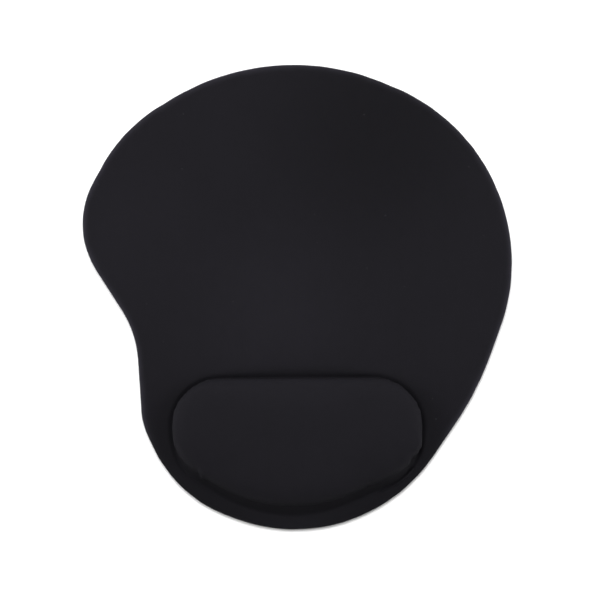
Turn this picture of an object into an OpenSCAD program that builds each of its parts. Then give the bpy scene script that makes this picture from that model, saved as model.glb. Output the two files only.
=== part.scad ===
// Mouse pad with a raised gel wrist cushion, built up in glued layers.
// +X is to the user's right, +Y away from the user and +Z up.  The origin is on the desk,
// under the middle of the pad.  Every layer shares one outline, so the layers meet face
// to face when their offsets and levels agree.

/* [Pad] */
// Length of the pad from the wrist end to the far end
pad_length = 250; // [225:1:275]
// Height of the mousing surface above the desk
pad_height = 5; // [4.5:0.1:6]
// How far the rolled edge reaches in over the top of the pad
edge_roll = 4.5; // [3:0.5:5]

/* [Wrist cushion] */
// Height of the cushion's crown above the desk
cushion_height = 20; // [17:0.5:24]
// Level above the desk where the wall of the cushion turns into its crowned top
wall_height = 12; // [11:0.5:14]
// How far the foot of the cushion slopes out on the side nearest the user
foot_slope = 7; // [2:0.5:8]
// How full the top is: low is a ridge, high is a flat top with tight shoulders
crown_fullness = 5; // [3:0.5:6]

/* [Layers] */
// Thickness of the stretch fabric
fabric = 0.7; // [0.5:0.1:0.9]
// Thickness of the rubber base
base_thickness = 1.6; // [1.2:0.1:1.8]
// How far the rubber base stands back from the edge of the pad
base_inset = 2.5; // [2:0.5:4]
// Width of fabric turned under the edge of the pad
hem_width = 9; // [7:0.5:12]
// Thickness of the glue under the pad and under the wrist cushion
glue = 0.2; // [0.1:0.05:0.3]
// Thickness of the glue film under the mousing surface
surface_glue = 0.1; // [0.1:0.05:0.2]
// Thickness of the firm foam under the gel
riser_thickness = 5.5; // [3:0.5:6]
// Thickness of the two films that hold the gel
gel_film = 0.3; // [0.2:0.05:0.4]

/* [Hidden] */

// An outline is a belt drawn round pulleys, each [x, y, radius], taken anticlockwise.  A
// negative radius is an idler that presses the belt in, as at the thumb scoop.
drawn_length = 250;
pad_pulleys = [
    [-54, 26, 168],        // right flank
    [13.5, 18.5, 102],     // right shoulder
    [-2, -1, 126],         // far end
    [-28.5, 28, 87.5],     // slope down to the left shoulder
    [-69, 39.5, 46.5],     // left shoulder
    [-141.5, -37.5, -56],  // thumb scoop
    [-43.5, -58, 40.5],    // left hip
    [-13, -51, 71],        // turn into the wrist end
    [-1.5, -34.5, 90.5]    // wrist end
];
cushion_pulleys = [
    [40, -70, 26.5],       // right end
    [-40.5, -70, 26],      // left end
    [-2.5, -30, 80]        // side nearest the user
];
cushion_middle = [0, -77] * pad_length / drawn_length;

// Greatest lengths of the short flats that stand for the arcs
pad_step = 7;
cushion_step = 4.5;
edge_steps = 4;       // flats round the upper and the lower half of the rolled edge
crown_steps = 9;      // rings from the shoulder of the cushion to its crown

base_top = base_thickness;
hem_bottom = base_top + glue;
foam_top = pad_height - fabric;
riser_bottom = foam_top + glue;
riser_top = riser_bottom + riser_thickness;
gel_bottom = riser_top + gel_film;
edge_height = hem_bottom + 1.3;   // level of the widest point of the rolled edge
edge_tuck = 1.4;                  // how far the roll tucks in underneath
film_margin = 0.5;                // bare foam round the glue film
cut = 0.5;                        // overshoot of a cutting shape

// One turn of a belt, as points [centre x, centre y, radius, angle of the outward normal],
// so an offset moves every point along its own normal
function whole_turn(a) = (a % 360 + 360) % 360;
function leaving_angle(p, q) =
    atan2(q.y - p.y, q.x - p.x) - acos((p[2] - q[2]) / norm([q.x - p.x, q.y - p.y]));
function wrap(from, to, radius) =
    radius > 0 ? whole_turn(to - from) : -whole_turn(from - to);
function belt(pulleys, step) =
    let (n = len(pulleys), k = pad_length / drawn_length,
         angles = [for (i = [0 : n - 1]) leaving_angle(pulleys[i], pulleys[(i + 1) % n])])
    [for (i = [0 : n - 1])
        let (p = pulleys[i] * k, start = angles[(i + n - 1) % n],
             sweep = wrap(start, angles[i], p[2]),
             flats = ceil(abs(sweep * p[2]) * PI / 180 / step))
        for (j = [0 : flats]) [p.x, p.y, p[2], start + sweep * j / flats]];

pad_belt = belt(pad_pulleys, pad_step);
cushion_belt = belt(cushion_pulleys, cushion_step);

function on_belt(b, inset) =
    [b.x, b.y] + (b[2] - inset) * [cos(b[3]), sin(b[3])];
function outline(points, inset) = [for (b = points) on_belt(b, inset)];
function raise(points, z) = [for (p = points) [p.x, p.y, z]];

// From 0 where an outline faces the far end to 1 where it faces the user
function nearness(b) = (1 - sin(b[3])) / 2;

// The foot slopes out fully on the side nearest the user and not at all on the far side
function slope_out(b, z) =
    foot_slope * pow(nearness(b), 2) * (wall_height - z) / (wall_height - pad_height);

// The crown is fullest on the far side and rolls down gently to the user
function fullness(b) = crown_fullness * (1.4 - 0.8 * nearness(b));

// Closed solid through rings of equal point count, listed from the bottom up
module loft(rings) {
    n = len(rings[0]);
    top = len(rings) - 1;
    sides = [for (k = [0 : top - 1], i = [0 : n - 1])
        let (a = k * n + i, b = k * n + (i + 1) % n)
        each [[a, b + n, b], [a, a + n, b + n]]];
    polyhedron(
        points = [for (ring = rings) each ring],
        faces = concat([[for (i = [0 : n - 1]) i]], sides,
                       [[for (i = [n - 1 : -1 : 0]) top * n + i]]));
}

module slab(points, inset, bottom, top) {
    translate([0, 0, bottom]) linear_extrude(top - bottom) polygon(outline(points, inset));
}

// Pad with its rolled edge, drawn in by the given skin
module pad_form(skin, bottom) {
    low = [for (i = [0 : edge_steps])
        let (t = 90 * i / edge_steps)
        [skin + (edge_tuck - skin / 2) * (1 - sin(t)),
         edge_height - (edge_height - bottom) * cos(t)]];
    high = [for (i = [1 : edge_steps])
        let (t = 90 * i / edge_steps)
        [skin + (edge_roll - skin) * (1 - cos(t)),
         edge_height + (pad_height - skin - edge_height) * sin(t)]];
    loft([for (s = concat(low, high)) raise(outline(pad_belt, s[0]), s[1])]);
}

// Cushion with its crowned top, drawn in by the given skin, from a level in its foot up
module cushion_form(skin, bottom) {
    wall = [for (z = [bottom, wall_height - skin])
        [for (b = cushion_belt)
            let (p = on_belt(b, skin - slope_out(b, max(z, pad_height - skin))))
            [p.x, p.y, z]]];
    rise = cushion_height - wall_height;
    crown = [for (i = [1 : crown_steps])
        let (t = cos(90 * i / (crown_steps + 0.5)))
        [for (b = cushion_belt)
            let (p = cushion_middle + (on_belt(b, skin) - cushion_middle) * t)
            [p.x, p.y, wall_height - skin + rise * pow(1 - pow(t, fullness(b)), 1 / 2.2)]]];
    loft(concat(wall, crown));
}

module non_slip_base() {
    color("#1c1c1e") slab(pad_belt, base_inset, 0, base_top);
}

module base_adhesive() {
    color("#b9b7a6") slab(pad_belt, base_inset + 1, base_top, hem_bottom);
}

// Glue film under the mousing surface, which ends level with the middle of the cushion
module surface_film() {
    bottom = foam_top - surface_glue;
    difference() {
        slab(pad_belt, edge_roll + film_margin, bottom, foam_top);
        slab(cushion_belt, -foot_slope - film_margin, bottom - cut, foam_top + cut);
        translate([-pad_length, cushion_middle.y - pad_length, bottom - cut])
            cube([2 * pad_length, pad_length, surface_glue + 2 * cut]);
    }
}

module pad_foam() {
    color("#4b4d55") difference() {
        union() {
            pad_form(fabric, hem_bottom + fabric);
            slab(pad_belt, hem_width, hem_bottom, hem_bottom + fabric + cut);
        }
        surface_film();
    }
}

module cover_adhesive() {
    color("#d8d4c4") surface_film();
}

module fabric_cover() {
    color("#242329") difference() {
        union() {
            pad_form(0, hem_bottom);
            cushion_form(0, foam_top);
        }
        pad_form(fabric, hem_bottom + fabric);
        cushion_form(fabric, foam_top - cut);
        slab(pad_belt, hem_width, hem_bottom - cut, hem_bottom + fabric + cut);
    }
}

// Slice of the cushion inside the given skin, between two levels
module cushion_slice(skin, bottom, top) {
    intersection() {
        cushion_form(skin, foam_top);
        slab(cushion_belt, -foot_slope - film_margin, bottom, top);
    }
}

module wrist_adhesive() {
    color("#b9b7a6") cushion_slice(fabric, foam_top, riser_bottom);
}

module wrist_riser() {
    color("#6b6d76") cushion_slice(fabric, riser_bottom, riser_top);
}

module gel_pouch_base() {
    color("#c9d3da") cushion_slice(fabric, riser_top, gel_bottom);
}

module gel_cushion() {
    color("#7fb0c8") cushion_slice(fabric + gel_film, gel_bottom, cushion_height);
}

module gel_pouch_top() {
    color("#dfe7ec") difference() {
        cushion_slice(fabric, gel_bottom, cushion_height);
        cushion_form(fabric + gel_film, foam_top);
    }
}

non_slip_base();
base_adhesive();
pad_foam();
cover_adhesive();
fabric_cover();
wrist_adhesive();
wrist_riser();
gel_pouch_base();
gel_cushion();
gel_pouch_top();
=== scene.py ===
import bisect
import math

import bmesh
import bpy
import numpy as np
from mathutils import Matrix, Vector, noise
from mathutils.bvhtree import BVHTree


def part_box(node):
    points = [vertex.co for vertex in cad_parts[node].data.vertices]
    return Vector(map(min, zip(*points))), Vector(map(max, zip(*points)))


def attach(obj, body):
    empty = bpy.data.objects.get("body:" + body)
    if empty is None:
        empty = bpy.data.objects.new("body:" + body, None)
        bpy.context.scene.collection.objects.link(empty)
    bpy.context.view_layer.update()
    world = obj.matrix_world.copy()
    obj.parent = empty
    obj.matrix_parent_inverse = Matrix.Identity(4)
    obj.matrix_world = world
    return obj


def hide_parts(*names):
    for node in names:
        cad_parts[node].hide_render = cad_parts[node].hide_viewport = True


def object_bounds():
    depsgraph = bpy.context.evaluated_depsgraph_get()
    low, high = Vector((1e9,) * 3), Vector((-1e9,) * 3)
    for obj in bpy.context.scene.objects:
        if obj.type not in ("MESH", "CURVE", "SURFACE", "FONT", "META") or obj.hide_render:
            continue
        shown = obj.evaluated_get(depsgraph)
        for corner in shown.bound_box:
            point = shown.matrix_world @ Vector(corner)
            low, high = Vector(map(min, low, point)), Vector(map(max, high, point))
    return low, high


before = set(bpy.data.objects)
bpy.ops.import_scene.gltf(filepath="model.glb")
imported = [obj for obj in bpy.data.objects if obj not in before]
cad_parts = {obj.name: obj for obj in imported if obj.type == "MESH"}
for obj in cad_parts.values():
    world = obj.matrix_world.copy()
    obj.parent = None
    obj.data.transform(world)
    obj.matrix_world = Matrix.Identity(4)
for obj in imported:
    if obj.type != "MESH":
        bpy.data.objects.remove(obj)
cadLow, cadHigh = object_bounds()
print("frame loaded, CAD box", [round(v * 1000, 1) for v in (*cadLow, *cadHigh)])

mm = 0.001

# Levels come from the frame, so the looks follow the CAD layers
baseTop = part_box("non_slip_base")[1].z
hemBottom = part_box("fabric_cover")[0].z
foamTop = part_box("pad_foam")[1].z
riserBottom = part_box("wrist_riser")[0].z
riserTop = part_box("wrist_riser")[1].z
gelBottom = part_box("gel_cushion")[0].z
crownTop = cadHigh.z
padLength = cadHigh.y - cadLow.y

# An outline is a belt round pulleys (x, y, radius in mm, anticlockwise); a negative
# radius is an idler that presses the belt in. The first pulley is at the wrist end.
outlines = {
    "drawnLength": 250,
    "pad": [(-1.5, -34.5, 90.5), (-54, 26, 168), (13.5, 18.5, 102), (-2, -1, 126),
            (-28.5, 28, 87.5), (-69, 39.5, 46.5), (-141.5, -37.5, -56), (-43.5, -58, 40.5),
            (-13, -51, 71)],
    "cushion": [(-2.5, -30, 80), (40, -70, 26.5), (-40.5, -70, 26)],
    "cushionMiddle": (0, -77),
}
drawnScale = padLength / mm / outlines["drawnLength"]
cushionMiddle = Vector(outlines["cushionMiddle"]) * drawnScale * mm


def beltRun(pulleys):
    # stops: x, y, radius, angle of the outward normal, distance along the belt
    pulleys = [tuple(value * drawnScale for value in pulley) for pulley in pulleys]
    following = pulleys[1:] + pulleys[:1]
    leaving = []
    for (x, y, r), (nextX, nextY, nextR) in zip(pulleys, following):
        apart = math.hypot(nextX - x, nextY - y)
        leaving.append(math.atan2(nextY - y, nextX - x) - math.acos((r - nextR) / apart))
    stops = []
    along = 0
    angle = leaving[-1]
    for (x, y, r), (nextX, nextY, nextR), leave in zip(pulleys, following, leaving):
        sweep = (leave - angle) % math.tau
        if r < 0:
            sweep -= math.tau
        stops.append((x, y, r, angle, along))
        along += abs(sweep * r)
        angle += sweep
        stops.append((x, y, r, angle, along))
        flatX = nextX - x + (nextR - r) * math.cos(angle)
        flatY = nextY - y + (nextR - r) * math.sin(angle)
        along += math.hypot(flatX, flatY)
    stops.append((*stops[0][:3], angle, along))
    return stops


def beltState(run, along):
    # the pulley centre, radius and normal angle at a distance round the belt
    along %= run[-1][4]
    i = min(bisect.bisect_right([stop[4] for stop in run], along), len(run) - 1)
    low, high = run[i - 1], run[i]
    share = (along - low[4]) / max(high[4] - low[4], 1e-9)
    return tuple(a + (b - a) * share for a, b in zip(low[:4], high[:4]))


def onBelt(state, inset):
    x, y, r, angle = state
    return Vector((x + (r - inset) * math.cos(angle), y + (r - inset) * math.sin(angle))) * mm


def ringAt(states, inset, z):
    # inset in mm, one number or one for each column; z in metres, likewise
    insets = inset if isinstance(inset, list) else [inset] * len(states)
    heights = z if isinstance(z, list) else [z] * len(states)
    return [Vector((*onBelt(s, d), h)) for s, d, h in zip(states, insets, heights)]


def columnStates(columns):
    # columns are evenly spaced round the pad, and each meets the cushion's outline where
    # a ray to the cushion's middle crosses it
    padRun = beltRun(outlines["pad"])
    cushionRun = beltRun(outlines["cushion"])
    lowest = -math.pi / 2

    def startOf(run):
        x, y, r, angle, along = run[0]
        return along + r * ((lowest - angle + math.pi) % math.tau - math.pi)

    def bearingOf(run, along, last):
        ray = onBelt(beltState(run, along), 0) - cushionMiddle
        bearing = math.atan2(ray.y, ray.x)
        return bearing + round((last - bearing) / math.tau) * math.tau

    steps = 4000
    start, turn = startOf(cushionRun), cushionRun[-1][4]
    places = [start + turn * (i / steps - 0.25) for i in range(steps * 3 // 2 + 1)]
    bearings = [bearingOf(cushionRun, places[0], -math.pi)]
    for along in places[1:]:
        bearings.append(bearingOf(cushionRun, along, bearings[-1]))
    start, turn = startOf(padRun), padRun[-1][4]
    cushionStates = []
    padStates = []
    bearing = lowest
    for i in range(columns):
        along = start + turn * i / columns
        bearing = bearingOf(padRun, along, bearing)
        padStates.append(beltState(padRun, along))
        cushionStates.append(beltState(cushionRun, float(np.interp(bearing, bearings, places))))
    return cushionStates, padStates


def firstRing(bm, places):
    ring = bmesh.ops.create_circle(bm, segments=len(places), radius=1)["verts"]
    for vert, place in zip(ring, places):
        vert.co = place
    return list(ring)


def nextRing(bm, ring, places):
    # extrudes the ring's edges and moves the new ring to its places
    edges = [bm.edges.get((ring[i - 1], ring[i])) for i in range(len(ring))]
    made = bmesh.ops.extrude_edge_only(bm, edges=edges)["geom"]
    new = {item for item in made if isinstance(item, bmesh.types.BMVert)}
    out = []
    for vert, place in zip(ring, places):
        mate = next(e.other_vert(vert) for e in vert.link_edges if e.other_vert(vert) in new)
        mate.co = place
        out.append(mate)
    return out


def finishPiece(bm, name, smooth=True):
    mesh = bpy.data.meshes.new(name)
    bm.to_mesh(mesh)
    bm.free()
    if smooth:
        mesh.shade_smooth()
    piece = bpy.data.objects.new(name, mesh)
    bpy.context.scene.collection.objects.link(piece)
    return piece


view = {"focal": 200, "frameWidth": 0.3235, "aim": (0.0015, -0.0016), "sensor": 36}


def buildCamera():
    data = bpy.data.cameras.new("camera")
    data.lens = view["focal"]
    data.sensor_width = view["sensor"]
    camera = bpy.data.objects.new("camera", data)
    height = view["focal"] / view["sensor"] * view["frameWidth"]
    camera.location = (*view["aim"], height)
    camera.rotation_euler = (0, 0, 0)
    bpy.context.scene.collection.objects.link(camera)
    bpy.context.scene.camera = camera


studio = {
    "floorSize": 4.0,
    "floorGap": 0.00005,      # keeps the floor clear of the underside
    "floorColour": (0.95, 0.95, 0.95, 1),
    "floorRoughness": 0.9,
    "skyColour": (1, 1, 1, 1),
    "skyStrength": 0.08,
    # soft boxes: place, size across and along, power in watts
    "boxes": {
        "farBox": ((0.0, 1.5, 0.42), (2.4, 0.7), 6.2),
        "leftBox": ((-1.4, 0.1, 0.42), (1.6, 0.7), 22.7),
        "rightBox": ((1.4, 0.1, 0.42), (1.6, 0.7), 21.8),
        "overhead": ((-0.12, 0.85, 2.2), (1.2, 1.2), 59.0),
        "below": ((0.3, -0.3, -1.2), (1.2, 1.2), 30.0),
    },
}


def buildStudio():
    bm = bmesh.new()
    bmesh.ops.create_grid(bm, x_segments=2, y_segments=2, size=studio["floorSize"] / 2)
    bmesh.ops.translate(bm, verts=bm.verts, vec=(0, 0, -studio["floorGap"]))
    floor = finishPiece(bm, "floor", smooth=False)
    paint, tree, surface = newMaterial("floorPaint")
    surface.inputs["Base Color"].default_value = studio["floorColour"]
    surface.inputs["Roughness"].default_value = studio["floorRoughness"]
    # the floor is clear from below, and to light that came up through it, so the tread shows
    side = tree.nodes.new("ShaderNodeNewGeometry")
    path = tree.nodes.new("ShaderNodeLightPath")
    pick = tree.nodes.new("ShaderNodeMixShader")
    clear = tree.nodes.new("ShaderNodeBsdfTransparent")
    through = mathNode(tree, "ADD", side.outputs["Backfacing"], path.outputs["Transparent Depth"],
                       clamp=True)
    feed(tree, pick.inputs["Fac"], through)
    feed(tree, pick.inputs[1], surface.outputs["BSDF"])
    feed(tree, pick.inputs[2], clear.outputs["BSDF"])
    feed(tree, tree.nodes["Material Output"].inputs["Surface"], pick.outputs["Shader"])
    floor.data.materials.append(paint)
    for name, (place, size, power) in studio["boxes"].items():
        data = bpy.data.lights.new(name, "AREA")
        data.shape = "RECTANGLE"
        data.size, data.size_y = size
        data.energy = power
        lamp = bpy.data.objects.new(name, data)
        lamp.location = place
        lamp.rotation_euler = (-Vector(place)).to_track_quat("-Z", "Y").to_euler()
        bpy.context.scene.collection.objects.link(lamp)
    world = bpy.data.worlds.new("studioSky")
    bpy.context.scene.world = world
    world.use_nodes = True
    sky = world.node_tree.nodes["Background"]
    sky.inputs["Color"].default_value = studio["skyColour"]
    sky.inputs["Strength"].default_value = studio["skyStrength"]
    bpy.context.scene.view_settings.view_transform = "Standard"


def newMaterial(name):
    material = bpy.data.materials.new(name)
    material.use_nodes = True
    tree = material.node_tree
    return material, tree, tree.nodes["Principled BSDF"]


gel = {
    "film": 0.3,
    "skin": 1.05,             # from the gel to the outside of the cloth, mm
    "fullness": 6.0,          # how flat the crown is
    "fullerFar": (1.4, 0.8),  # times as full on the far side, and how much less on the near one
    "shoulder": 2.2,          # how square the turn from the wall into the crown is
    "startIn": 0.7,           # the bag starts this much smaller all round, and swells, mm
    "crownRings": 16,
    "poleGap": 0.4,           # leaves a small flat over the middle, in rings
    "voxel": 1.8,             # size of the bag's mesh, mm
    "pressure": 1.5,
    "stiffness": 4.0,
    "frames": 20,
    "heldStrip": 1.5,         # height above the base that is held while it swells, mm
    "flatStrip": 0.5,         # what lies lower than this is put back on the base, mm
    "cap": 4.0,               # furthest that any spot may move, mm
    "smoothing": 3,
    "slack": 1.6,             # how far the gel stays back from the cloth in a gather, mm
}


def nearness(state):
    # 0 where the outline faces the far side, 1 where it faces the user
    return (1 - math.sin(state[3])) / 2


def wallInset(state, z, skin=0.0):
    # the wall slopes out to its foot on the near side and stands straight elsewhere
    slope = cover["footSlope"] * max(0, 2 * nearness(state) - 1) ** 2
    return skin - slope * (cover["wallTop"] * mm - z) / (cover["wallTop"] * mm - padTop)


def crownRing(states, inset, t, low, high):
    # a ring of the crown: t is 1 at the top of the wall and 0 over the middle
    places = []
    for state in states:
        most, less = gel["fullerFar"]
        full = gel["fullness"] * (most - less * nearness(state))
        z = low + (high - low) * (1 - t ** full) ** (1 / gel["shoulder"])
        places.append(Vector((*(cushionMiddle + (onBelt(state, inset) - cushionMiddle) * t), z)))
    return places


def buildGelCushion(states):
    bm = bmesh.new()
    inset = gel["skin"] + gel["startIn"]
    wallTop = max((cover["wallTop"] - inset) * mm, gelBottom + mm)
    ring = firstRing(bm, ringAt(states, [wallInset(s, gelBottom, inset) for s in states], gelBottom))
    bmesh.ops.contextual_create(bm, geom=ring)
    ring = nextRing(bm, ring, ringAt(states, [wallInset(s, wallTop, inset) for s in states], wallTop))
    for j in range(1, gel["crownRings"] + 1):
        t = math.cos(math.pi / 2 * j / (gel["crownRings"] + gel["poleGap"]))
        ring = nextRing(bm, ring, crownRing(states, inset, t, wallTop, crownTop - inset * mm))
    bmesh.ops.contextual_create(bm, geom=ring)
    bmesh.ops.recalc_face_normals(bm, faces=bm.faces)
    cushion = finishPiece(bm, "gelCushion")
    swell(cushion)
    fitToBox(cushion, *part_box("gel_cushion"))
    return cushion


def swell(piece):
    # remeshes a closed bag and blows it up with cloth, held along its flat base
    remesh = piece.modifiers.new("remesh", "REMESH")
    remesh.mode = "VOXEL"
    remesh.voxel_size = gel["voxel"] * mm
    applyModifiers(piece)
    base = min(v.co.z for v in piece.data.vertices)
    rest = [v.co.copy() for v in piece.data.vertices]
    held = piece.vertex_groups.new(name="held")
    strip = base + gel["heldStrip"] * mm
    held.add([i for i, co in enumerate(rest) if co.z < strip], 1.0, "ADD")
    cloth = piece.modifiers.new("cloth", "CLOTH")
    cloth.settings.use_pressure = True
    cloth.settings.uniform_pressure_force = gel["pressure"]
    cloth.settings.tension_stiffness = gel["stiffness"]
    cloth.settings.compression_stiffness = gel["stiffness"]
    cloth.settings.shear_stiffness = gel["stiffness"]
    cloth.settings.vertex_group_mass = "held"
    cloth.settings.effector_weights.gravity = 0
    for step in range(1, gel["frames"] + 1):
        bpy.context.scene.frame_set(step)
    applyModifiers(piece)
    bpy.context.scene.frame_set(1)
    piece.vertex_groups.clear()
    flat = base + gel["flatStrip"] * mm
    for vert, was in zip(piece.data.vertices, rest):
        move = vert.co - was
        if move.length > gel["cap"] * mm:
            vert.co = was + move.normalized() * gel["cap"] * mm
        if was.z < flat:
            vert.co.z = base
    bm = bmesh.new()
    bm.from_mesh(piece.data)
    smoothPasses(bm, [v for v in bm.verts if v.co.z > flat], gel["smoothing"])
    bm.to_mesh(piece.data)
    bm.free()
    piece.data.shade_smooth()


def smoothPasses(bm, verts, passes):
    for again in range(passes):
        bmesh.ops.smooth_vert(bm, verts=verts, factor=0.5,
                              use_axis_x=True, use_axis_y=True, use_axis_z=True)


def applyModifiers(piece):
    shown = piece.evaluated_get(bpy.context.evaluated_depsgraph_get())
    mesh = bpy.data.meshes.new_from_object(shown)
    piece.modifiers.clear()
    old = piece.data
    piece.data = mesh
    bpy.data.meshes.remove(old)


def fitToBox(piece, low, high):
    corners = [v.co for v in piece.data.vertices]
    wasLow = Vector([min(co[k] for co in corners) for k in range(3)])
    wasHigh = Vector([max(co[k] for co in corners) for k in range(3)])
    for co in corners:
        for k in range(3):
            co[k] = low[k] + (co[k] - wasLow[k]) / (wasHigh[k] - wasLow[k]) * (high[k] - low[k])


def gatherGel(piece):
    # presses the cloth's gathers into the gel, after a finer mesh is cut round them
    bm = bmesh.new()
    bm.from_mesh(piece.data)
    folded = [e for e in bm.edges if abs(gatherHeight(e.verts[0].co.xy / mm)) > 0.05]
    bmesh.ops.subdivide_edges(bm, edges=folded, cuts=1, use_grid_fill=True, smooth=0.6)
    bm.normal_update()
    moves = []
    for vert in bm.verts:
        height = gatherHeight(vert.co.xy / mm)
        height -= gel["slack"] * min(1, abs(height))
        hold = min(1, max(0, (vert.co.z - gelBottom) / (0.5 * mm)))
        moves.append((vert, vert.normal * height * hold * mm))
    for vert, move in moves:
        vert.co += move
    bm.to_mesh(piece.data)
    bm.free()
    piece.data.shade_smooth()


def buildPouch(gelPiece):
    # clear film over the gel: the gel's own surface without its flat base
    bm = bmesh.new()
    bm.from_mesh(gelPiece.data)
    under = [f for f in bm.faces if all(v.co.z < gelBottom + 0.1 * mm for v in f.verts)]
    bmesh.ops.delete(bm, geom=under, context="FACES")
    pouch = finishPiece(bm, "gelPouchTop")
    wall = pouch.modifiers.new("filmThickness", "SOLIDIFY")
    wall.thickness = gel["film"] * mm
    wall.offset = 1
    return pouch


cover = {
    "columns": 600,           # points round each ring
    "cloth": 0.7,
    "wallTop": 12,            # level where the wall turns into the crown, mm
    "wallRings": 8,
    "filletRings": 5,
    "crownRings": 26,
    "shoulderRings": 14,      # rings of the crown that are smoothed with the wall
    "smoothing": 5,
    "padRings": 20,
    "padSpread": 2.2,         # how much closer the rings of the pad lie near the cushion
    "rollRings": 7,
    "tuckRings": 4,
    "footSlope": 7.0,         # how far the wall slopes out to its foot towards the user, mm
    "fillet": (0.6, 1.3),     # at the foot on the far side and on the near side, mm
    "crease": 1.5,            # how deep the cloth is pressed in along the far foot, mm
    "creaseWidth": 1.4,
    "creaseRest": 0.08,       # what is left of the crease along the near foot, mm
    "creaseBank": 0.75,       # depth where the cloth leaves the crease, of its full depth
    "edgeRoll": 4.5,          # how far the rolled edge reaches in over the top, mm
    "edgeTuck": 1.4,          # and underneath
    "edgeHeight": 1.3,        # above the underside, mm
    "hem": (2.6, 5.0, 9.0),   # insets of the hem's rings, mm
    "holdHeight": 3.0,        # the gel takes hold of the cloth over this height, mm
    "edgeStart": 3,           # rings before the roll where the edge's waves begin
    "edgeRings": 6,           # rings over which they grow
    "edgeFade": 0.6,          # height over the hem where they fade out, mm
    "wave": (0.14, 9.0),      # long waves of the edge: height and length, mm
    "ripple": (0.05, 3.5),    # short ones
}

padTop = foamTop + cover["cloth"] * mm

# gathers in the cloth of the wrist cushion: from, to, half width and height in mm
gathers = [
    ((61.6, -82.6), (62.6, -92.0), 1.5, -1.0),
    ((65.8, -75.5), (65.0, -88.5), 1.7, 1.0),
    ((64.0, -78.0), (59.4, -89.0), 1.0, 0.5),
    ((-50.0, -97.5), (-50.9, -93.0), 1.5, 0.9),
    ((-52.2, -96.0), (-53.8, -91.0), 1.2, -0.7),
]


def creaseDepth(state):
    # full along the far foot, and next to nothing along the near one
    return (cover["crease"] * (1 - nearness(state) ** 1.5) + cover["creaseRest"]) * mm


def creaseBank(gap, depth):
    # how far the pad is drawn down at that distance in metres from the crease
    return depth * cover["creaseBank"] * math.exp(-(gap / (cover["creaseWidth"] * mm)) ** 2)


def heldShare(z):
    # 1 where the cloth lies on the gel, 0 below it
    return min(1, max(0, (z - gelBottom) / (cover["holdHeight"] * mm)))


def buildCover(cushionStates, padStates, gelPiece):
    bm = bmesh.new()
    wallTop = cover["wallTop"] * mm
    low, high = cover["fillet"]
    fillet = [low + (high - low) * nearness(s) for s in cushionStates]
    crease = [creaseDepth(s) for s in cushionStates]

    # wall, from its top to where the fillet starts
    rings = [firstRing(bm, ringAt(cushionStates, 0.0, wallTop))]
    for j in range(1, cover["wallRings"] + 1):
        heights = [wallTop + (padTop + f * mm - wallTop) * j / cover["wallRings"] for f in fillet]
        insets = [wallInset(s, h) for s, h in zip(cushionStates, heights)]
        rings.append(nextRing(bm, rings[-1], ringAt(cushionStates, insets, heights)))

    # fillet, a curve from the wall over the foot to the pad
    starts = [v.co.copy() for v in rings[-1]]
    footInsets = [wallInset(s, padTop) for s in cushionStates]
    feet = ringAt(cushionStates, footInsets, [padTop - c for c in crease])
    ends = ringAt(cushionStates, [d - f for d, f in zip(footInsets, fillet)],
                  [padTop - creaseBank(0, c) for c in crease])
    for j in range(1, cover["filletRings"] + 1):
        t = j / cover["filletRings"]
        places = [a * (1 - t) ** 2 + b * 2 * t * (1 - t) + c * t ** 2
                  for a, b, c in zip(starts, feet, ends)]
        rings.append(nextRing(bm, rings[-1], places))
    footIndex = len(rings) - 1

    # pad, out to where the edge starts to roll
    rim = ringAt(padStates, cover["edgeRoll"], padTop)
    for j in range(1, cover["padRings"] + 1):
        places = []
        for a, b, c in zip(ends, rim, crease):
            place = a.lerp(b, (j / cover["padRings"]) ** cover["padSpread"])
            place.z = padTop - creaseBank((place - a).xy.length, c)
            places.append(place)
        rings.append(nextRing(bm, rings[-1], places))
    rimIndex = len(rings) - 1

    # rolled edge, tucked under into the hem
    widest = hemBottom + cover["edgeHeight"] * mm
    for j in range(1, cover["rollRings"] + 1):
        turn = math.pi / 2 * j / cover["rollRings"]
        places = ringAt(padStates, cover["edgeRoll"] * (1 - math.sin(turn)),
                        widest + (padTop - widest) * math.cos(turn))
        rings.append(nextRing(bm, rings[-1], places))
    for j in range(1, cover["tuckRings"] + 1):
        turn = math.pi / 2 * j / cover["tuckRings"]
        places = ringAt(padStates, cover["edgeTuck"] * (1 - math.cos(turn)),
                        widest + (hemBottom - widest) * math.sin(turn))
        rings.append(nextRing(bm, rings[-1], places))
    for inset in cover["hem"]:
        rings.append(nextRing(bm, rings[-1], ringAt(padStates, inset, hemBottom)))

    # crown, from the top of the wall in to the middle
    crown = [rings[0]]
    for j in range(1, cover["crownRings"] + 1):
        t = math.cos(math.pi / 2 * j / (cover["crownRings"] + gel["poleGap"]))
        crown.append(nextRing(bm, crown[-1], crownRing(cushionStates, 0, t, wallTop, crownTop)))
    bmesh.ops.contextual_create(bm, geom=crown[-1])

    laid = drapeOverGel(bm, crown, rings[1:cover["wallRings"] + 1], gelPiece)
    layPattern(bm, crown, rings, footIndex, rimIndex)
    bmesh.ops.recalc_face_normals(bm, faces=bm.faces)
    if crown[-1][0].normal.z < 0:
        bmesh.ops.reverse_faces(bm, faces=bm.faces)
    wrinkle(bm, laid, crown, rings, footIndex, rimIndex)
    piece = finishPiece(bm, "fabricCover")
    wall = piece.modifiers.new("clothThickness", "SOLIDIFY")
    wall.thickness = cover["cloth"] * mm
    wall.offset = -1
    return piece


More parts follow.
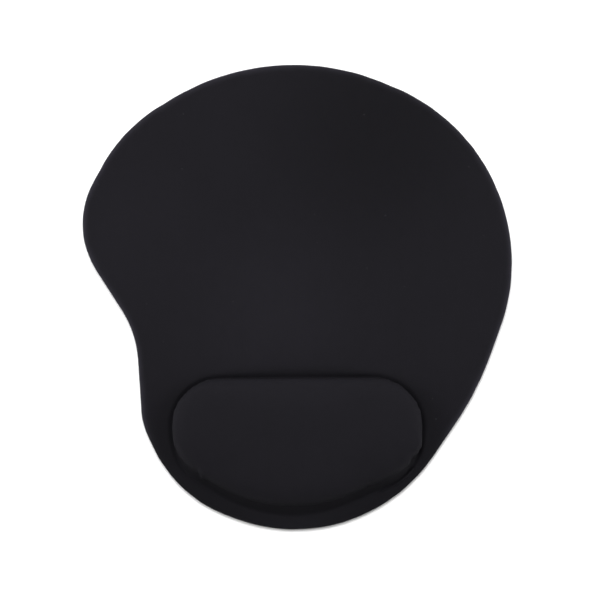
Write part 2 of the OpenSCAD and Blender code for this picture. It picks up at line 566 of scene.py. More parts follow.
def drapeOverGel(bm, crown, wall, gelPiece):
    # the cloth lies on the swollen gel's film and hangs free below it; returns the gel's
    # own place and normal under each corner that lies on it
    shape = bmesh.new()
    shape.from_mesh(gelPiece.data)
    tree = BVHTree.FromBMesh(shape)
    shape.free()
    corners = [vert for ring in crown + wall for vert in ring]
    for vert in corners:
        point, normal, face, gap = tree.find_nearest(vert.co)
        vert.co = vert.co.lerp(point + normal * gel["skin"] * mm, heldShare(vert.co.z))
    shoulder = [v for ring in crown[:cover["shoulderRings"]] + wall for v in ring]
    smoothPasses(bm, shoulder, cover["smoothing"])
    laid = {}
    for vert in corners:
        point, normal, face, gap = tree.find_nearest(vert.co)
        clear = (vert.co - point).dot(normal)
        if vert.co.z > gelBottom and clear < gel["skin"] * mm:
            vert.co += normal * (gel["skin"] * mm - clear)
        laid[vert] = (point, normal)
    return laid


def layPattern(bm, crown, rings, footIndex, rimIndex):
    # flat pattern in metres: the pad lies flat, the cloth over the cushion shares its
    # stretch along each column, and the rolled edge carries straight on
    layer = bm.loops.layers.uv.new("clothPattern")
    places = {}
    for i, foot in enumerate(rings[footIndex]):
        column = [ring[i] for ring in reversed(crown)] + [r[i] for r in rings[1:footIndex + 1]]
        lengths = [(column[0].co.xy - cushionMiddle).length]
        for a, b in zip(column, column[1:]):
            lengths.append(lengths[-1] + (b.co - a.co).length)
        for vert, length in zip(column, lengths):
            places[vert] = cushionMiddle + (foot.co.xy - cushionMiddle) * length / lengths[-1]
        for ring in rings[footIndex + 1:rimIndex + 1]:
            places[ring[i]] = ring[i].co.xy
        at = rings[rimIndex][i].co.xy
        outward = (at - rings[rimIndex - 1][i].co.xy).normalized()
        for a, b in zip(rings[rimIndex:], rings[rimIndex + 1:]):
            at = at + outward * (b[i].co - a[i].co).length
            places[b[i]] = at
    for face in bm.faces:
        for loop in face.loops:
            loop[layer].uv = places[loop.vert]


def gatherHeight(place):
    # height of all gathers at a place in mm; each fades across and towards both its ends
    height = 0
    for start, end, width, rise in gathers:
        start, end = Vector(start) * drawnScale, Vector(end) * drawnScale
        along = end - start
        share = min(1, max(0, (place - start).dot(along) / along.length_squared))
        gap = (place - start - along * share).length
        height += rise * math.exp(-(gap / width) ** 2) * math.sin(math.pi * (0.15 + 0.7 * share))
    return height


def wrinkle(bm, laid, crown, rings, footIndex, rimIndex):
    # gathers on the cushion, and a slightly wavy edge
    waveHeight, waveLength = cover["wave"]
    rippleHeight, rippleLength = cover["ripple"]
    bm.normal_update()
    moves = {}
    for ring in crown + rings[1:footIndex + 1]:
        for vert in ring:
            hold = heldShare(vert.co.z) if vert in laid else 0
            low = max(0, min(1, (vert.co.z - padTop) / (cover["holdHeight"] * mm)))
            point, normal = laid.get(vert, (vert.co, vert.normal))
            own = vert.normal * gatherHeight(vert.co.xy / mm) * low
            moves[vert] = own.lerp(normal * gatherHeight(point.xy / mm), hold) * mm
    for k, ring in enumerate(rings[rimIndex - cover["edgeStart"]:]):
        for vert in ring:
            wave = noise.noise(Vector((vert.co.x, vert.co.y, 0)) / (waveLength * mm))
            fine = noise.noise(Vector((vert.co.x, vert.co.y, 0.4)) / (rippleLength * mm))
            above = (vert.co.z - hemBottom) / (cover["edgeFade"] * mm)
            share = min(1, k / cover["edgeRings"]) * max(0, min(1, above))
            moves[vert] = vert.normal * (waveHeight * wave + rippleHeight * fine) * share * mm
    for vert, move in moves.items():
        vert.co += move


foam = {
    "padInset": 0.7,          # the cloth's thickness stands between the foam and the outside, mm
    "corner": 0.5,
    "gap": 0.05,              # between the cloth and what is in the foot of the cushion, mm
    "tuckRings": 5,
    "rollRings": 7,
    "padRings": 10,
}


def buildPadFoam(cushionStates, padStates):
    # foam sheet with a rounded edge, a step under it that holds the turned hem, and a
    # groove above it where the cloth is pressed in round the cushion
    cushion, pad = cushionStates[::2], padStates[::2]
    bm = bmesh.new()
    widest = hemBottom + cover["edgeHeight"] * mm
    skin = foam["padInset"]
    under = hemBottom + skin * mm
    hem = cover["hem"][-1]
    ring = firstRing(bm, ringAt(pad, hem + foam["corner"], hemBottom))
    bmesh.ops.contextual_create(bm, geom=ring)
    profile = [(hem + 0.1, hemBottom + 0.1 * mm), (hem, under - 0.1 * mm), (hem - 0.2, under)]
    for j in range(0, foam["tuckRings"] + 1):
        turn = math.pi / 2 * j / foam["tuckRings"]
        profile.append((skin + (cover["edgeTuck"] - skin / 2) * (1 - math.sin(turn)),
                        widest + (under - widest) * math.cos(turn)))
    for j in range(1, foam["rollRings"] + 1):
        turn = math.pi / 2 * j / foam["rollRings"]
        profile.append((skin + (cover["edgeRoll"] - skin) * (1 - math.cos(turn)),
                        widest + (foamTop - widest) * math.sin(turn)))
    for inset, z in profile:
        ring = nextRing(bm, ring, ringAt(pad, inset, z))
    rim = [v.co.copy() for v in ring]
    low, high = cover["fillet"]
    reach = [wallInset(s, padTop) - low - (high - low) * nearness(s) for s in cushion]
    ends = ringAt(cushion, reach, foamTop)
    for j in range(1, foam["padRings"] + 1):
        places = []
        for a, b, s in zip(ends, rim, cushion):
            place = a.lerp(b, (1 - j / foam["padRings"]) ** cover["padSpread"])
            place.z = foamTop - creaseBank((place - a).xy.length, creaseDepth(s))
            places.append(place)
        ring = nextRing(bm, ring, places)
    for inward, share in ((0.0, 1.0), (cover["cloth"], 1.0), (cover["cloth"] + foam["gap"], 0.0)):
        ring = nextRing(bm, ring, ringAt(cushion, [wallInset(s, padTop, inward) for s in cushion],
                                         [foamTop - creaseDepth(s) * share for s in cushion]))
    bmesh.ops.contextual_create(bm, geom=ring)
    bmesh.ops.recalc_face_normals(bm, faces=bm.faces)
    return finishPiece(bm, "padFoam")


def buildCushionLayer(name, cushionStates, bottom, top, ease):
    # one flat layer in the foot of the cushion, its edges eased by that many mm, dented
    # where the cloth is gathered over it
    states = cushionStates[::2]
    bm = bmesh.new()
    skin = cover["cloth"] + foam["gap"]
    levels = [(bottom, ease), (bottom + ease * 0.3 * mm, ease * 0.3), (bottom + ease * mm, 0.0)]
    levels += [(bottom + (top - bottom) * k / 4, 0.0) for k in range(1, 4)]
    levels += [(top - ease * mm, 0.0), (top - ease * 0.3 * mm, ease * 0.3), (top, ease)]
    ring = None
    for z, eased in levels:
        outside = ringAt(states, [wallInset(s, z) for s in states], z)
        dents = [max(0, -gatherHeight(place.xy / mm)) for place in outside]
        insets = [wallInset(s, z, skin + eased + dent) for s, dent in zip(states, dents)]
        places = ringAt(states, insets, z)
        ring = nextRing(bm, ring, places) if ring else firstRing(bm, places)
        if z == bottom:
            bmesh.ops.contextual_create(bm, geom=ring)
    bmesh.ops.contextual_create(bm, geom=ring)
    bmesh.ops.recalc_face_normals(bm, faces=bm.faces)
    return finishPiece(bm, name)


rubber = {
    "inset": 2.5,
    "edge": 0.15,             # flat broken along the lower edge, mm
    "rim": 3.0,               # plain margin round the tread, mm
    "cell": 4.2,              # spacing of the tread's diamonds, mm
    "slant": 27,              # half angle of a diamond, degrees
    "groove": 0.45,           # half width of a groove, mm
    "depth": 0.35,
    "smallest": 0.9,          # narrowest cell that still gets a stud, mm
}


def buildBase(padStates):
    bm = bmesh.new()
    ring = firstRing(bm, ringAt(padStates, rubber["inset"], rubber["edge"] * mm))
    lower = nextRing(bm, ring, ringAt(padStates, rubber["inset"] + rubber["edge"], 0.0))
    upper = nextRing(bm, ring, ringAt(padStates, rubber["inset"], baseTop))
    bmesh.ops.contextual_create(bm, geom=upper)
    sole = bmesh.ops.contextual_create(bm, geom=lower)["faces"]
    bmesh.ops.recalc_face_normals(bm, faces=bm.faces)
    bmesh.ops.inset_region(bm, faces=sole, thickness=rubber["rim"] * mm,
                           depth=-rubber["depth"] * mm, use_even_offset=True)
    geom = sole + list(sole[0].edges) + list(sole[0].verts)
    reach = padLength * 0.8
    for slant in (rubber["slant"], -rubber["slant"]):
        across = Vector((math.cos(math.radians(slant)), math.sin(math.radians(slant)), 0))
        for k in range(int(-reach / rubber["cell"] / mm), int(reach / rubber["cell"] / mm) + 1):
            cut = bmesh.ops.bisect_plane(bm, geom=geom, dist=1e-7, plane_no=across,
                                         plane_co=across * k * rubber["cell"] * mm)
            geom = cut["geom"]
    cells = [f for f in geom if isinstance(f, bmesh.types.BMFace)]
    wide = [f for f in cells if 2 * f.calc_area() / f.calc_perimeter() > rubber["smallest"] * mm]
    bmesh.ops.inset_individual(bm, faces=wide, thickness=rubber["groove"] * mm,
                               depth=rubber["depth"] * mm, use_even_offset=True)
    return finishPiece(bm, "nonSlipBase", smooth=False)


def feed(tree, socket, value):
    if isinstance(value, bpy.types.NodeSocket):
        tree.links.new(value, socket)
    else:
        socket.default_value = value


def mathNode(tree, operation, *values, clamp=False):
    node = tree.nodes.new("ShaderNodeMath")
    node.operation = operation
    node.use_clamp = clamp
    for socket, value in zip(node.inputs, values):
        feed(tree, socket, value)
    return node.outputs[0]


def mapRange(tree, value, fromLow, fromHigh, toLow, toHigh, smooth=False):
    node = tree.nodes.new("ShaderNodeMapRange")
    if smooth:
        node.interpolation_type = "SMOOTHSTEP"
    for socket, item in zip(node.inputs, (value, fromLow, fromHigh, toLow, toHigh)):
        feed(tree, socket, item)
    return node.outputs["Result"]


def mixColour(tree, share, first, second):
    node = tree.nodes.new("ShaderNodeMix")
    node.data_type = "RGBA"
    feed(tree, node.inputs["Factor"], share)
    feed(tree, node.inputs[6], first)
    feed(tree, node.inputs[7], second)
    return node.outputs[2]


def noiseNode(tree, place, scale, detail=2.0, roughness=0.5):
    node = tree.nodes.new("ShaderNodeTexNoise")
    feed(tree, node.inputs["Vector"], place)
    feed(tree, node.inputs["Scale"], scale)
    feed(tree, node.inputs["Detail"], detail)
    feed(tree, node.inputs["Roughness"], roughness)
    return node.outputs["Fac"]


def stretched(tree, place, x, y):
    node = tree.nodes.new("ShaderNodeMapping")
    feed(tree, node.inputs["Vector"], place)
    node.inputs["Scale"].default_value = (x, y, 1.0)
    return node.outputs["Vector"]


def newGroup(name, inputs, outputs):
    # inputs: name and default, None for a vector; outputs: names of values from 0 to 1
    tree = bpy.data.node_groups.new(name, "ShaderNodeTree")
    for label, value in inputs:
        kind = "NodeSocketVector" if value is None else "NodeSocketFloat"
        socket = tree.interface.new_socket(name=label, in_out="INPUT", socket_type=kind)
        if value is not None:
            socket.default_value = value
    for label in outputs:
        tree.interface.new_socket(name=label, in_out="OUTPUT", socket_type="NodeSocketFloat")
    start = tree.nodes.new("NodeGroupInput")
    end = tree.nodes.new("NodeGroupOutput")
    return tree, start.outputs, end.inputs


def useGroup(tree, group, **values):
    node = tree.nodes.new("ShaderNodeGroup")
    node.node_tree = group
    for label, value in values.items():
        feed(tree, node.inputs[label], value)
    return node.outputs


def buildMottle():
    # slow uneven colour, around 1
    tree, start, end = newGroup("mottle", [("Place", None), ("Size", 0.02), ("Amount", 0.2)],
                                ["Factor"])
    scale = mathNode(tree, "DIVIDE", 1.0, start["Size"])
    cloud = noiseNode(tree, start["Place"], scale, detail=4, roughness=0.6)
    swing = mathNode(tree, "MULTIPLY", mathNode(tree, "SUBTRACT", cloud, 0.5), start["Amount"])
    feed(tree, end["Factor"], mathNode(tree, "MULTIPLY_ADD", swing, 2.0, 1.0))
    return tree


def buildGrain():
    # fine rough skin, as a height and as a mask of its pits
    tree, start, end = newGroup("grain", [("Place", None), ("Size", 0.0006)], ["Height", "Pits"])
    scale = mathNode(tree, "DIVIDE", 1.0, start["Size"])
    fine = noiseNode(tree, start["Place"], scale, detail=5, roughness=0.65)
    feed(tree, end["Height"], fine)
    feed(tree, end["Pits"], mapRange(tree, fine, 0.42, 0.3, 0.0, 1.0, smooth=True))
    return tree


def buildSpecks():
    # scattered lint and dust: one speck in some cells of a grid, each of its own size
    tree, start, end = newGroup("specks", [("Place", None), ("Spacing", 0.006), ("Size", 0.0004),
                                           ("Share", 0.3)], ["Mask"])
    cells = tree.nodes.new("ShaderNodeTexVoronoi")
    bent = tree.nodes.new("ShaderNodeVectorMath")
    bent.operation = "MULTIPLY_ADD"
    wobble = tree.nodes.new("ShaderNodeTexNoise")
    feed(tree, wobble.inputs["Vector"], start["Place"])
    wobble.inputs["Scale"].default_value = 900.0
    feed(tree, bent.inputs[0], wobble.outputs["Color"])
    bent.inputs[1].default_value = (0.0007, 0.0007, 0.0007)
    feed(tree, bent.inputs[2], start["Place"])
    feed(tree, cells.inputs["Vector"], bent.outputs["Vector"])
    feed(tree, cells.inputs["Scale"], mathNode(tree, "DIVIDE", 1.0, start["Spacing"]))
    split = tree.nodes.new("ShaderNodeSeparateColor")
    feed(tree, split.inputs["Color"], cells.outputs["Color"])
    chosen = mathNode(tree, "LESS_THAN", split.outputs["Red"], start["Share"])
    radius = mathNode(tree, "DIVIDE", start["Size"], start["Spacing"])
    radius = mathNode(tree, "MULTIPLY", radius, mapRange(tree, split.outputs["Green"], 0, 1, 0.4, 1))
    edge = mathNode(tree, "DIVIDE", cells.outputs["Distance"], radius)
    near = mapRange(tree, edge, 0.5, 1.0, 1.0, 0.0, smooth=True)
    feed(tree, end["Mask"], mathNode(tree, "MULTIPLY", near, chosen))
    return tree


def buildFoamCells():
    # open pores of two sizes, as a height and as a mask of the pores
    tree, start, end = newGroup("foamCells", [("Place", None), ("Size", 0.0006)],
                                ["Height", "Pores"])
    heights = []
    for size in (1.0, 0.45):
        cells = tree.nodes.new("ShaderNodeTexVoronoi")
        feed(tree, cells.inputs["Vector"], start["Place"])
        scale = mathNode(tree, "DIVIDE", 1.0 / size, start["Size"])
        feed(tree, cells.inputs["Scale"], scale)
        heights.append(mapRange(tree, cells.outputs["Distance"], 0.15, 0.55, 0.0, 1.0, smooth=True))
    both = mathNode(tree, "MULTIPLY_ADD", heights[1], 0.35,
                    mathNode(tree, "MULTIPLY", heights[0], 0.65))
    feed(tree, end["Height"], both)
    feed(tree, end["Pores"], mapRange(tree, both, 0.5, 0.1, 0.0, 1.0))
    return tree


def buildKnit():
    # wales run along the pattern's Y; each is two rows of slanted yarns, a V per course
    tree, start, end = newGroup("knit", [("Pattern", None), ("Wale", 0.00055), ("Course", 0.00042)],
                                ["Height", "Groove", "Streak"])
    split = tree.nodes.new("ShaderNodeSeparateXYZ")
    feed(tree, split.inputs["Vector"], start["Pattern"])
    wander = noiseNode(tree, start["Pattern"], 300.0, detail=2)
    wander = mathNode(tree, "MULTIPLY", mathNode(tree, "SUBTRACT", wander, 0.5), 0.0002)
    column = mathNode(tree, "ADD", split.outputs["X"], wander)
    column = mathNode(tree, "DIVIDE", column, start["Wale"])
    course = mathNode(tree, "DIVIDE", split.outputs["Y"], start["Course"])
    across = mathNode(tree, "SUBTRACT", mathNode(tree, "FRACT", column), 0.5)
    side = mathNode(tree, "ABSOLUTE", across)
    yarn = mathNode(tree, "SINE", mathNode(tree, "MULTIPLY", side, math.tau))
    rise = mathNode(tree, "FRACT", mathNode(tree, "MULTIPLY_ADD", side, 1.4, course))
    loop = mathNode(tree, "SINE", mathNode(tree, "MULTIPLY", rise, math.pi))
    yarnRound = mathNode(tree, "POWER", mathNode(tree, "MAXIMUM", yarn, 0.0), 0.6)
    height = mathNode(tree, "MULTIPLY", yarnRound, mathNode(tree, "MULTIPLY_ADD", loop, 0.55, 0.45))
    feed(tree, end["Height"], height)
    feed(tree, end["Groove"], mapRange(tree, height, 0.45, 0.05, 0.0, 1.0))
    rows = tree.nodes.new("ShaderNodeTexWhiteNoise")
    rows.noise_dimensions = "1D"
    feed(tree, rows.inputs["W"], mathNode(tree, "FLOOR", column))
    drawnOut = stretched(tree, start["Pattern"], 520.0, 16.0)
    slow = noiseNode(tree, drawnOut, 1.0, detail=3, roughness=0.7)
    feed(tree, end["Streak"], mathNode(tree, "MULTIPLY_ADD", rows.outputs["Value"], 0.3,
                                       mathNode(tree, "MULTIPLY", slow, 0.7)))
    return tree


def bumpNode(tree, height, distance, strength=1.0, under=None):
    node = tree.nodes.new("ShaderNodeBump")
    feed(tree, node.inputs["Height"], height)
    node.inputs["Distance"].default_value = distance
    node.inputs["Strength"].default_value = strength
    if under is not None:
        feed(tree, node.inputs["Normal"], under)
    return node.outputs["Normal"]


def objectPlace(tree):
    return tree.nodes.new("ShaderNodeTexCoord").outputs["Object"]


def tinted(tree, colour, factor):
    # a fixed colour times a factor that changes over the surface
    node = tree.nodes.new("ShaderNodeVectorMath")
    node.operation = "SCALE"
    node.inputs[0].default_value = colour
    feed(tree, node.inputs["Scale"], factor)
    return node.outputs["Vector"]


def buildEffects():
    return {"mottle": buildMottle(), "grain": buildGrain(), "specks": buildSpecks(),
            "foamCells": buildFoamCells(), "knit": buildKnit()}


knitFinish = {
    "colour": (0.0076, 0.0071, 0.0095),
    "lint": (0.016, 0.0158, 0.018, 1),
    "groove": 0.5,            # shade between the wales
    "streak": 0.07,           # how much one wale differs from the next
    "mottle": 0.06,
    "roughness": 0.82,
    "roughSwing": 0.06,
    "specular": 0.08,
    "wale": 0.00055,          # width of a wale, m
    "course": 0.00042,        # height of a course, m
    "depth": 0.00012,
    "paintedRimHighlight": 1.8,          # how much paler the rolled edge is painted: a painted highlight
    "rimHighlightDepths": (0.00005, 0.0012),  # below the top of the pad, where the painted highlight starts and is full
    "rimHighlightFades": (-0.105, -0.06),     # no painted highlight nearer the user than the first, full past the second
    "rimHighlightReach": (1.3, 1.9),          # the same, by how far out from the cushion
    "paintedFootShade": 0.28,        # how much darker the foot of the cushion is painted: a painted shade
    "footHeights": (0.006, 0.002),    # above the pad, where the painted shade starts and is full
    "footReach": (1.1, 1.9),          # full up to the first, gone past the second
    "cushionHalf": (0.068, 0.036),
    "cushionY": -0.08,
    "boxiness": 3.0,          # 2 is an ellipse, more is squarer
    # patches of painted light and shade on the cloth: middle, radius, change of shade, in mm
    "paintedLightPatches": [((45, 92), 88, -0.34), ((-15, -8), 64, 0.26), ((-95, 35), 60, 0.14)],
}


def cushionReach(tree, split):
    # 1 on a rounded box the size of the cushion, more outside it and less inside
    halfWidth, halfDepth = knitFinish["cushionHalf"]
    boxiness = knitFinish["boxiness"]
    across = mathNode(tree, "ABSOLUTE", split.outputs["X"])
    along = mathNode(tree, "ADD", split.outputs["Y"], -knitFinish["cushionY"])
    along = mathNode(tree, "ABSOLUTE", along)
    across = mathNode(tree, "POWER", mathNode(tree, "DIVIDE", across, halfWidth), boxiness)
    along = mathNode(tree, "POWER", mathNode(tree, "DIVIDE", along, halfDepth), boxiness)
    return mathNode(tree, "ADD", across, along)


def paintedLightPools(tree):
    # painted light and shade: soft patches that make the cloth paler or darker
    shade = 1.0
    for (x, y), radius, change in knitFinish["paintedLightPatches"]:
        node = tree.nodes.new("ShaderNodeMapping")
        node.inputs["Location"].default_value = (-x / radius, -y / radius, 0)
        node.inputs["Scale"].default_value = (1 / (radius * mm), 1 / (radius * mm), 0)
        feed(tree, node.inputs["Vector"], objectPlace(tree))
        distance = tree.nodes.new("ShaderNodeVectorMath")
        distance.operation = "LENGTH"
        feed(tree, distance.inputs[0], node.outputs["Vector"])
        patch = mapRange(tree, distance.outputs["Value"], 0.0, 1.0, change, 0.0, smooth=True)
        shade = mathNode(tree, "ADD", shade, patch)
    return shade


def blackKnit(effects):
    material, tree, surface = newMaterial("blackKnit")
    pattern = tree.nodes.new("ShaderNodeUVMap")
    pattern.uv_map = "clothPattern"
    place = pattern.outputs["UV"]
    knit = useGroup(tree, effects["knit"], Pattern=place, Wale=knitFinish["wale"],
                    Course=knitFinish["course"])
    mottle = useGroup(tree, effects["mottle"], Place=objectPlace(tree), Size=0.03,
                      Amount=knitFinish["mottle"])["Factor"]
    lint = useGroup(tree, effects["specks"], Place=objectPlace(tree), Spacing=0.009, Size=0.0007,
                    Share=0.5)["Mask"]
    streak = mapRange(tree, knit["Streak"], 0.25, 0.75,
                      1 - knitFinish["streak"], 1 + knitFinish["streak"])
    groove = mapRange(tree, knit["Groove"], 0.0, 1.0, 1.0, knitFinish["groove"])
    blotch = useGroup(tree, effects["mottle"], Place=objectPlace(tree), Size=0.004,
                      Amount=knitFinish["mottle"])["Factor"]
    factor = mathNode(tree, "MULTIPLY", mathNode(tree, "MULTIPLY", streak, groove), mottle)
    # the painted light and shade of the patches multiplies the colour
    factor = mathNode(tree, "MULTIPLY", mathNode(tree, "MULTIPLY", factor, blotch), paintedLightPools(tree))
    split = tree.nodes.new("ShaderNodeSeparateXYZ")
    feed(tree, split.inputs["Vector"], objectPlace(tree))
    # painted highlight: the rolled edge is painted paler, but not towards the user
    shallow, deep = knitFinish["rimHighlightDepths"]
    rolled = mapRange(tree, split.outputs["Z"], padTop - shallow, padTop - deep, 0.0, 1.0)
    away = mapRange(tree, split.outputs["Y"], *knitFinish["rimHighlightFades"], 0.0, 1.0, smooth=True)
    reach = cushionReach(tree, split)
    clearOfFoot = mapRange(tree, reach, *knitFinish["rimHighlightReach"], 0.0, 1.0, smooth=True)
    wearAndRimHighlight = mathNode(tree, "MULTIPLY", mathNode(tree, "MULTIPLY", rolled, away), clearOfFoot)
    wearAndRimHighlight = mathNode(tree, "MULTIPLY", wearAndRimHighlight, knitFinish["paintedRimHighlight"])
    factor = mathNode(tree, "MULTIPLY", factor, mathNode(tree, "ADD", wearAndRimHighlight, 1.0))
    # painted shade: the cloth is painted darker in the foot of the cushion
    high, low = knitFinish["footHeights"]
    lowDown = mapRange(tree, split.outputs["Z"], padTop + high, padTop + low, 0.0, 1.0, smooth=True)
    nearFoot = mapRange(tree, reach, *knitFinish["footReach"], 1.0, 0.0, smooth=True)
    paintedFootShadow = mathNode(tree, "MULTIPLY", mathNode(tree, "MULTIPLY", lowDown, nearFoot),
                       knitFinish["paintedFootShade"])
    factor = mathNode(tree, "MULTIPLY", factor, mathNode(tree, "SUBTRACT", 1.0, paintedFootShadow))
    colour = tinted(tree, knitFinish["colour"], factor)
    feed(tree, surface.inputs["Base Color"], mixColour(tree, lint, colour, knitFinish["lint"]))
    rough, swing = knitFinish["roughness"], knitFinish["roughSwing"]
    feed(tree, surface.inputs["Roughness"],
         mapRange(tree, knit["Streak"], 0.0, 1.0, rough - swing, rough + swing))
    surface.inputs["Specular IOR Level"].default_value = knitFinish["specular"]
    normal = bumpNode(tree, knit["Height"], knitFinish["depth"], 0.8)
    feed(tree, surface.inputs["Normal"], bumpNode(tree, lint, 0.0002, 0.6, under=normal))
    return material


finish = {
    "rubber": (0.019, 0.019, 0.020),
    "rubberDust": (0.16, 0.155, 0.14, 1),
    "greyFoam": (0.072, 0.075, 0.088),
    "greyFoamCell": 0.0006,
    "firmFoam": (0.15, 0.155, 0.18),
    "firmFoamCell": 0.0009,
    "gel": (0.30, 0.55, 0.68),
    "gelBubbles": (0.75, 0.86, 0.90, 1),
    "film": (0.72, 0.80, 0.84),
    "tissueGlue": (0.49, 0.47, 0.38),
    "webGlue": (0.70, 0.66, 0.55),
}


def rubberSkin(effects):
    material, tree, surface = newMaterial("blackRubber")
    place = objectPlace(tree)
    mottle = useGroup(tree, effects["mottle"], Place=place, Size=0.025, Amount=0.3)["Factor"]
    grain = useGroup(tree, effects["grain"], Place=place, Size=0.0005)
    dust = useGroup(tree, effects["specks"], Place=place, Spacing=0.007, Size=0.0006,
                    Share=0.4)["Mask"]
    split = tree.nodes.new("ShaderNodeSeparateXYZ")
    feed(tree, split.inputs["Vector"], place)
    wearAndRimHighlight = mapRange(tree, split.outputs["Z"], 0.0, 0.0004, 1.0, 0.0, smooth=True)  # faces that rub
    factor = mathNode(tree, "MULTIPLY", mottle, mapRange(tree, wearAndRimHighlight, 0.0, 1.0, 0.8, 1.15))
    colour = tinted(tree, finish["rubber"], factor)
    feed(tree, surface.inputs["Base Color"], mixColour(tree, dust, colour, finish["rubberDust"]))
    rough = mathNode(tree, "MULTIPLY_ADD", grain["Height"], 0.2, 0.62)
    feed(tree, surface.inputs["Roughness"],
         mathNode(tree, "SUBTRACT", rough, mathNode(tree, "MULTIPLY", wearAndRimHighlight, 0.12)))
    surface.inputs["Specular IOR Level"].default_value = 0.4
    feed(tree, surface.inputs["Normal"], bumpNode(tree, grain["Height"], 0.00008, 0.7))
    return material


def foamSkin(effects, name):
    material, tree, surface = newMaterial(name)
    colour, cell = finish[name], finish[name + "Cell"]
    place = objectPlace(tree)
    mottle = useGroup(tree, effects["mottle"], Place=place, Size=0.012, Amount=0.25)["Factor"]
    cells = useGroup(tree, effects["foamCells"], Place=place, Size=cell)
    # painted shade: the pores are painted darker
    dark = mapRange(tree, cells["Pores"], 0.0, 1.0, 1.0, 0.45)
    feed(tree, surface.inputs["Base Color"],
         tinted(tree, colour, mathNode(tree, "MULTIPLY", mottle, dark)))
    feed(tree, surface.inputs["Roughness"], mapRange(tree, cells["Pores"], 0.0, 1.0, 0.8, 0.95))
    surface.inputs["Specular IOR Level"].default_value = 0.25
    surface.inputs["Sheen Weight"].default_value = 0.15
    feed(tree, surface.inputs["Normal"], bumpNode(tree, cells["Height"], cell * 0.4, 0.8))
    return material


def gelBody(effects):
    # soft translucent gel, faintly cloudy, with a scatter of small bubbles
    material, tree, surface = newMaterial("clearGel")
    place = objectPlace(tree)
    mottle = useGroup(tree, effects["mottle"], Place=place, Size=0.02, Amount=0.18)["Factor"]
    bubbles = useGroup(tree, effects["specks"], Place=place, Spacing=0.008, Size=0.0009,
                       Share=0.3)["Mask"]
    colour = tinted(tree, finish["gel"], mottle)
    feed(tree, surface.inputs["Base Color"], mixColour(tree, bubbles, colour, finish["gelBubbles"]))
    feed(tree, surface.inputs["Roughness"], mathNode(tree, "MULTIPLY_ADD", bubbles, 0.2, 0.12))
    surface.inputs["Transmission Weight"].default_value = 0.55
    surface.inputs["IOR"].default_value = 1.46
    wave = noiseNode(tree, place, 90.0, detail=2)
    feed(tree, surface.inputs["Normal"], bumpNode(tree, wave, 0.0004, 0.4))
    return material


def filmSkin(effects):
    # clear film with fine crinkles and a milky bloom
    material, tree, surface = newMaterial("clearFilm")
    place = objectPlace(tree)
    mottle = useGroup(tree, effects["mottle"], Place=place, Size=0.01, Amount=0.12)["Factor"]
    grain = useGroup(tree, effects["grain"], Place=place, Size=0.004)
    feed(tree, surface.inputs["Base Color"], tinted(tree, finish["film"], mottle))
    feed(tree, surface.inputs["Roughness"], mapRange(tree, grain["Height"], 0.3, 0.7, 0.12, 0.3))
    feed(tree, surface.inputs["Alpha"], mapRange(tree, grain["Height"], 0.3, 0.7, 0.25, 0.5))
    feed(tree, surface.inputs["Normal"], bumpNode(tree, grain["Height"], 0.0005, 0.5))
    return material


def tissueGlue(effects):
    # double-sided tape: a pale tissue of short fibres soaked in glue
    material, tree, surface = newMaterial("tissueGlue")
    place = objectPlace(tree)
    mottle = useGroup(tree, effects["mottle"], Place=place, Size=0.015, Amount=0.2)["Factor"]
    fibres = useGroup(tree, effects["grain"], Place=stretched(tree, place, 1.0, 0.12), Size=0.0006)
    # painted shade: the pits between the fibres are painted darker
    dark = mapRange(tree, fibres["Pits"], 0.0, 1.0, 1.0, 0.82)
    feed(tree, surface.inputs["Base Color"],
         tinted(tree, finish["tissueGlue"], mathNode(tree, "MULTIPLY", mottle, dark)))
    feed(tree, surface.inputs["Roughness"], mapRange(tree, fibres["Height"], 0.3, 0.7, 0.3, 0.5))
    feed(tree, surface.inputs["Normal"], bumpNode(tree, fibres["Height"], 0.00006, 0.6))
    return material


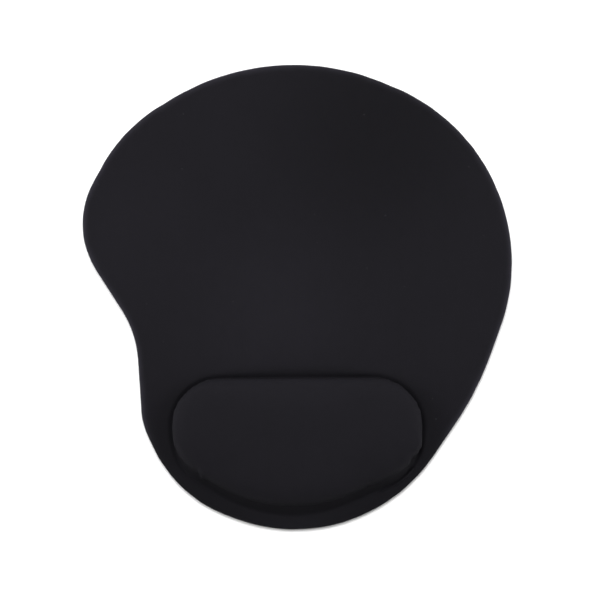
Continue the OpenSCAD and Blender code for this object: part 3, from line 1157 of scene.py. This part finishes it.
def webGlue(effects):
    # hot-melt glue drawn out into a web of threads
    material, tree, surface = newMaterial("webGlue")
    place = objectPlace(tree)
    mottle = useGroup(tree, effects["mottle"], Place=place, Size=0.01, Amount=0.15)["Factor"]
    web = tree.nodes.new("ShaderNodeTexVoronoi")
    web.feature = "DISTANCE_TO_EDGE"
    feed(tree, web.inputs["Vector"], place)
    web.inputs["Scale"].default_value = 420.0
    thread = mapRange(tree, web.outputs["Distance"], 0.04, 0.16, 1.0, 0.0, smooth=True)
    feed(tree, surface.inputs["Base Color"], tinted(tree, finish["webGlue"], mottle))
    feed(tree, surface.inputs["Roughness"], mapRange(tree, thread, 0.0, 1.0, 0.6, 0.35))
    feed(tree, surface.inputs["Alpha"], mapRange(tree, thread, 0.0, 1.0, 0.45, 1.0))
    feed(tree, surface.inputs["Normal"], bumpNode(tree, thread, 0.0001, 0.8))
    return material


def dressNode(node, material):
    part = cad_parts[node]
    for place in part.material_slots:
        place.link = "OBJECT"
        place.material = material


buildCamera()
buildStudio()
print("camera, floor and lights made")

cushionStates, padStates = columnStates(cover["columns"])
gelCushion = buildGelCushion(cushionStates[::4])
print("gel cushion swollen:", len(gelCushion.data.polygons), "faces")
fabricCover = buildCover(cushionStates, padStates, gelCushion)
print("cover laid:", len(fabricCover.data.polygons), "faces")
gatherGel(gelCushion)
gelPouchTop = buildPouch(gelCushion)
padFoam = buildPadFoam(cushionStates, padStates)
wristRiser = buildCushionLayer("wristRiser", cushionStates, riserBottom, riserTop, 0.5)
wristAdhesive = buildCushionLayer("wristAdhesive", cushionStates, foamTop, riserBottom, 0.05)
gelPouchBase = buildCushionLayer("gelPouchBase", cushionStates, riserTop, gelBottom, 0.08)
nonSlipBase = buildBase(padStates)
print("foams and rubber base made:", len(nonSlipBase.data.polygons), "faces of tread")

effects = buildEffects()
glue = tissueGlue(effects)
film = filmSkin(effects)
made = [
    (fabricCover, "fabric_cover", "knit_fabric", blackKnit(effects)),
    (nonSlipBase, "non_slip_base", "base_rubber", rubberSkin(effects)),
    (padFoam, "pad_foam", "pad_foam", foamSkin(effects, "greyFoam")),
    (wristRiser, "wrist_riser", "riser_foam", foamSkin(effects, "firmFoam")),
    (gelCushion, "gel_cushion", "gel", gelBody(effects)),
    (gelPouchTop, "gel_pouch_top", "pouch_film", film),
    (gelPouchBase, "gel_pouch_base", "pouch_film", film),
    (wristAdhesive, "wrist_adhesive", "glue_film", glue),
]
for piece, node, slotName, material in made:
    piece.data.materials.append(material)
    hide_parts(node)
    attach(piece, "root")
for node, material in (("base_adhesive", glue), ("cover_adhesive", webGlue(effects))):
    dressNode(node, material)
print("materials laid on")
